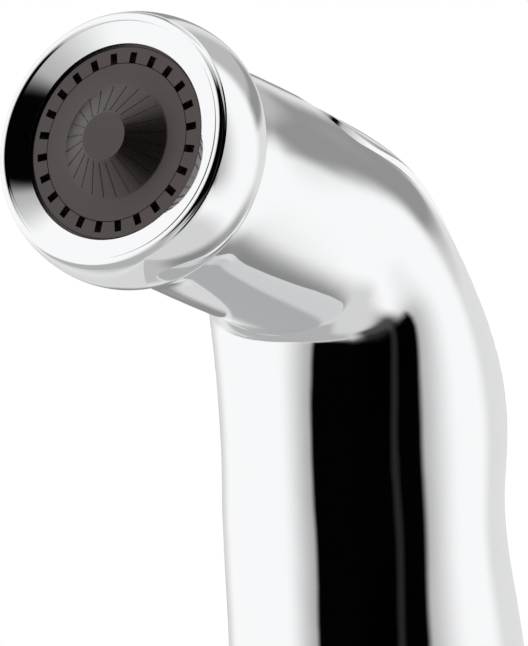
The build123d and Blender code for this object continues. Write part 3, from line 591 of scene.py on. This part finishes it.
# %% A finish and its nodes
class Finish:
    """A material or a world, whose nodes are added by one method."""

    def __init__(self, block):
        block.use_nodes = True
        self.block, self.tree = block, block.node_tree
        self.tree.nodes.clear()

    def node(self, kind, settings, inputs, output=0):
        """Adds a node with its settings and inputs, and returns one of its outputs."""
        made = self.tree.nodes.new(kind)
        for name, value in settings.items():
            setattr(made, name, value)
        for name, value in inputs.items():
            if isinstance(value, Wire):
                self.tree.links.new(value.socket, made.inputs[name])
            else:
                made.inputs[name].default_value = value
        return Wire(self, made.outputs[output]) if made.outputs else None

    def place(self):
        """Where a point of the piece is, in metres."""
        return self.node("ShaderNodeTexCoord", {}, {}, output="Object")

    def noise(self, scale, detail):
        """Cloudy noise from 0 to 1, with this many patches to the metre."""
        inputs = {"Vector": self.place(), "Scale": scale, "Detail": detail}
        return self.node("ShaderNodeTexNoise", {}, inputs)

    def between(self, wire, low, high, low_out=0.0, high_out=1.0):
        """Maps a stretch of a pattern to another stretch, and stops at its ends."""
        inputs = {"Value": wire, "From Min": low, "From Max": high, "To Min": low_out,
                  "To Max": high_out}
        return self.node("ShaderNodeMapRange", {"clamp": True}, inputs)

    def step(self, wire, low, high):
        """A soft step from 0 to 1 between two values, or from 1 to 0 if the higher comes first."""
        inputs = {"Value": wire, "From Min": low, "From Max": high}
        return self.node("ShaderNodeMapRange", {"interpolation_type": "SMOOTHSTEP"}, inputs)

    def split(self, vector):
        """The three parts of a vector."""
        first = self.node("ShaderNodeSeparateXYZ", {}, {"Vector": vector})
        return [Wire(self, socket) for socket in first.socket.node.outputs]

    def colours(self, share, first, second):
        """Mixes two colours."""
        inputs = {"Factor": share, 6: (*first, 1), 7: (*second, 1)}  # 6 and 7 are the colour sockets
        return self.node("ShaderNodeMix", {"data_type": "RGBA"}, inputs, output=2)

    def bump(self, height, distance, strength):
        """Turns a pattern into a relief of this many metres."""
        inputs = {"Height": height, "Distance": distance, "Strength": strength}
        return self.node("ShaderNodeBump", {}, inputs)

    def skin(self, **inputs):
        """Ends the material in a Principled surface."""
        named = {name.replace("_", " "): value for name, value in inputs.items()}
        surface = self.node("ShaderNodeBsdfPrincipled", {}, named)
        self.node("ShaderNodeOutputMaterial", {}, {"Surface": surface})
        return self.block


print("a finish can hold:", [name for name in vars(Finish) if not name.startswith("_")])


# %% Give pieces a finish
def new_finish(name):
    """An empty material, ready for its nodes."""
    return Finish(bpy.data.materials.new(name))


def dress(pieces, material):
    """Gives pieces a finish; a piece of the construction is given by its name."""
    for piece in pieces:
        piece = nodes[piece] if isinstance(piece, str) else piece
        piece.data.materials.clear()
        piece.data.materials.append(material)
    print(material.name, "on", len(pieces), "pieces")


print("materials that came with the construction:", len(bpy.data.materials))

# %% [markdown]
# ## Chrome
#
# Chrome is a mirror of a cool, light grey, and its shape shows only through what it reflects. A pure
# mirror looks drawn, because a real one has been handled. So its roughness is small but uneven, in
# soft clouds about 26 mm across, as a wiped surface has.

# %% Chrome
finish = new_finish("chrome")
smudge = finish.between(finish.noise(38, 3), 0.42, 0.75)
chrome = finish.skin(
    Base_Color=(0.93, 0.935, 0.945, 1),
    Metallic=1.0,
    Roughness=smudge * 0.025 + 0.02,
)
dress([casing, lever_cover, bell], chrome)

# %% [markdown]
# ## Dark plastic of the spray face
#
# The face is a satin black plastic with a trace of brown. Its colour could be one dark grey, but
# most of what is seen of it is its sheen, which is broken up by a moulded grain a fifth of a
# millimetre wide. The grain drives both the roughness and a relief of a few thousandths of a
# millimetre.

# %% Dark plastic
finish = new_finish("black_face_plastic")
grain = finish.noise(5200, 2)
face_plastic = finish.skin(
    Base_Color=finish.colours(finish.noise(140, 3), (0.011, 0.0075, 0.0075), (0.018, 0.012, 0.012)),
    Roughness=finish.between(grain, 0.3, 0.7, 0.25, 0.31),
    Specular_IOR_Level=1.0,
    Specular_Tint=(1.0, 0.87, 0.86, 1),
    Normal=finish.bump(grain, 0.000003, 0.4),
)
dress([slotted_ring, coned_hub], face_plastic)

# %% [markdown]
# ## Moulded plastic inside
#
# The water parts behind the face and the valve's button are an off-white plastic that nobody sees
# until the spray is opened. It needs no more than slight patches of tone, as an uncoloured moulding
# has, and a coarser grain than the face.

# %% Moulded plastic
finish = new_finish("moulded_plastic")
grain = finish.noise(3400, 2)
moulded = finish.skin(
    Base_Color=finish.colours(finish.noise(210, 3), (0.74, 0.72, 0.67), (0.82, 0.81, 0.78)),
    Roughness=finish.between(grain, 0.3, 0.7, 0.36, 0.5),
    Normal=finish.bump(grain, 0.00001, 0.6),
)
dress(["distributor_plate", "spray_chamber", "valve_button"], moulded)


# %% [markdown]
# ## Turned brass and steel
#
# The valve, the tubes, the pins and the screws come from a lathe, whose tool leaves fine rings round
# the piece's own axis. A plain noise would look like cast metal. So the noise is one-dimensional and
# runs along the axis, and each group of pieces has its own material with its own axis.

# %% Metal from a lathe
def lathe_turned(name, axis, dark, light, rough):
    """Metal with fine tool marks that run round its own axis."""
    finish = new_finish(name)
    x, y, z = finish.split(finish.place())
    along = x * axis[0] + y * axis[1] + z * axis[2]
    marks = finish.node("ShaderNodeTexNoise", {"noise_dimensions": "1D"},
                        {"W": along, "Scale": 7000.0, "Detail": 3.0})
    tarnish = finish.between(finish.noise(160, 4), 0.35, 0.7)
    return finish.skin(
        Base_Color=finish.colours(tarnish, dark, light),
        Metallic=1.0,
        Roughness=finish.between(marks, 0.3, 0.7, rough, rough + 0.16),
        Normal=finish.bump(marks, 0.000006, 0.7),
    )


stem_axis = Vector((0, 0.722967, 0.690882))
brass = ((0.60, 0.44, 0.20), (0.74, 0.59, 0.33))
steel = ((0.52, 0.52, 0.53), (0.66, 0.66, 0.67))
print("the stem leans", round(stem_axis.angle(Vector((0, 0, 1))) * 180 / pi, 1), "degrees")

# %% Brass and steel
dress(["outlet_tube"], lathe_turned("brass_round_spray_axis", spray_back, *brass, 0.2))
dress(["feed_tube", "inlet_adapter", thread], lathe_turned("brass_upright", (0, 0, 1), *brass, 0.2))
valve_brass = ["valve_housing", "gland_nut", "valve_seat", "end_plug", "poppet_cup"]
dress(valve_brass, lathe_turned("brass_round_stem", stem_axis, *brass, 0.22))
dress(["valve_stem", "return_spring"], lathe_turned("steel_round_stem", stem_axis, *steel, 0.18))
dress(["housing_screws", "lever_pin"], lathe_turned("steel_across", (1, 0, 0), *steel, 0.18))
dress(["hub_screw", "debris_screen"], lathe_turned("steel_round_spray_axis", spray_back, *steel, 0.22))

# %% [markdown]
# ## Seal rubber
#
# The seals and washers are black rubber, duller than the face's plastic. A flat black would lose
# their shape, so the rubber is rough, slightly uneven in tone, and has a shallow powdery relief.

# %% Rubber
finish = new_finish("black_rubber")
grain = finish.noise(2600, 3)
rubber = finish.skin(
    Base_Color=finish.colours(finish.noise(260, 2), (0.018, 0.018, 0.019), (0.036, 0.036, 0.038)),
    Roughness=finish.between(grain, 0.3, 0.7, 0.62, 0.8),
    Normal=finish.bump(grain, 0.00002, 0.5),
)
seals = ["face_gasket", "bell_seal", "tube_washers", "stem_seal", "plug_seal", "seat_washer"]
dress([*seals, "inlet_seal"], rubber)

# %% [markdown]
# ## The studio
#
# The photograph's background is pure white. More light would burn out the chrome, so the floor is
# pale paper to the lamps, and plain white only to the camera. The chrome doesn't see the floor: it
# reflects the tent, whose lower half stands for it.

# %% Floor
bpy.ops.object.select_all(action="DESELECT")
bpy.ops.mesh.primitive_plane_add(size=6, location=(0, 0, cad_box[0].z - 0.1 * MM))
floor = bpy.context.object
floor.name = "studio_floor"
finish = new_finish("white_paper")
seen = finish.node("ShaderNodeLightPath", {}, {}, output="Is Camera Ray")
paper = finish.node("ShaderNodeBsdfDiffuse", {}, {"Color": (0.9, 0.9, 0.9, 1)})
white = finish.node("ShaderNodeEmission", {}, {"Color": (1, 1, 1, 1), "Strength": 1.0})
mixed = finish.node("ShaderNodeMixShader", {}, {0: seen, 1: paper, 2: white})
finish.node("ShaderNodeOutputMaterial", {}, {"Surface": mixed})
floor.data.materials.append(finish.block)
floor.visible_glossy = False
floor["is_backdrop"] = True
print("floor at", round(floor.location.z, 4))

# %% [markdown]
# ## The tent
#
# Chrome has no colour of its own: it shows the room round it, so its picture is taken in a white tent.
# The tent could be built of lit planes, but they would hide one another, and their soft edges would be
# hard to set. So the tent is the world itself: white all round, with soft-edged panels that shade
# parts of it. Each panel is given by the stretch it covers, in degrees, round from where the camera
# stands and above the horizon.

# %% Directions in the tent
world = bpy.data.worlds.new("tent")
bpy.context.scene.world = world
tent = Finish(world)
x, y, z = tent.split(tent.node("ShaderNodeTexCoord", {}, {}, output="Generated"))
ahead = x * sin(VIEW_AZIMUTH) - y * cos(VIEW_AZIMUTH)
aside = x * cos(VIEW_AZIMUTH) + y * sin(VIEW_AZIMUTH)
DEGREE = 180 / pi
round_camera = tent.node("ShaderNodeMath", {"operation": "ARCTAN2"}, {0: aside, 1: ahead}) * DEGREE
above_horizon = tent.node("ShaderNodeMath", {"operation": "ARCSINE"}, {0: z}) * DEGREE
print("nodes for the directions:", len(tent.tree.nodes))


# %% A soft-edged panel
def stretch(left, right, soft, bottom, top, fade):
    """1 in a stretch of the tent with soft edges, and 0 round it."""
    across = tent.step(round_camera, left - soft, left + soft)
    across = across * tent.step(round_camera, right + soft, right - soft)
    height = tent.step(above_horizon, bottom - fade, bottom + fade)
    return across * height * tent.step(above_horizon, top + fade, top - fade)


def panel(left, right, soft, bottom, top, fade, depth):
    """Share of the light that is left in front of a soft-edged panel."""
    return 1 - stretch(left, right, soft, bottom, top, fade) * depth


print("a panel is 1 where the tent is white")

# %% Hang the panels
tone = panel(-27, 67, 3, -21, 58, 4, 0.998)  # the dark opening the camera looks through
tone = tone * panel(-42, 79, 20, -24, 70, 12, 0.6)  # its dim surround
tone = tone * panel(16, 58, 8, -42, -12, 10, 0.92)  # dark floor below the opening
tone = tone * panel(-146, 14, 14, -100, -26, 8, 0.54)  # grey floor to the left
tone = tone * panel(14, 260, 14, -100, -44, 8, 0.32)  # paler floor to the right
tone = tone * panel(126, 162, 7, 4, 46, 3, 0.34)  # grey wall behind, to the right
tone = tone * panel(124, 162, 7, 4, 16, 3, 0.4)  # its darker foot
tone = tone * panel(122, 150, 12, -72, -24, 10, 0.5)  # shaded corner below it
tone = tone * panel(124, 260, 8, -90, 90, 5, 0.24)  # the tent's back, to the right
tone = tone * panel(-260, -152, 14, -90, 90, 5, 0.3)  # and to the left
tone = tone * panel(173, 260, 2, -30, 90, 5, 0.6)  # the seam straight behind the hand spray
tone = tone * panel(-260, -173, 2, -30, 90, 5, 0.6)  # and its other half
tone = tone + stretch(43, 48, 2.5, -24, 50, 3) * 0.02  # a rib across the opening
print("nodes with the panels:", len(tent.tree.nodes))

# %% Light the tent
seen = tent.node("ShaderNodeLightPath", {}, {}, output="Is Camera Ray")
strength = seen + (1 - seen) * tone  # the camera itself sees plain white
light = tent.node("ShaderNodeBackground", {}, {"Color": (1, 1, 1, 1), "Strength": strength})
tent.node("ShaderNodeOutputWorld", {}, {"Surface": light})
bpy.context.scene.view_settings.view_transform = "Standard"
print("tent has", len(tent.tree.nodes), "nodes")

# %% [markdown]
# ## Sizes
#
# The looks must not change the size of the hand spray. The box of the construction and the box of the
# finished pieces are written side by side, so that they can be compared.

# %% Keep the sizes and finish
size = {"cad": [list(c) for c in cad_box], "visual": [list(c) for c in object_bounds()]}
for name, corners in size.items():
    print(name, "box in mm:", [[round(c / MM, 1) for c in corner] for corner in corners])
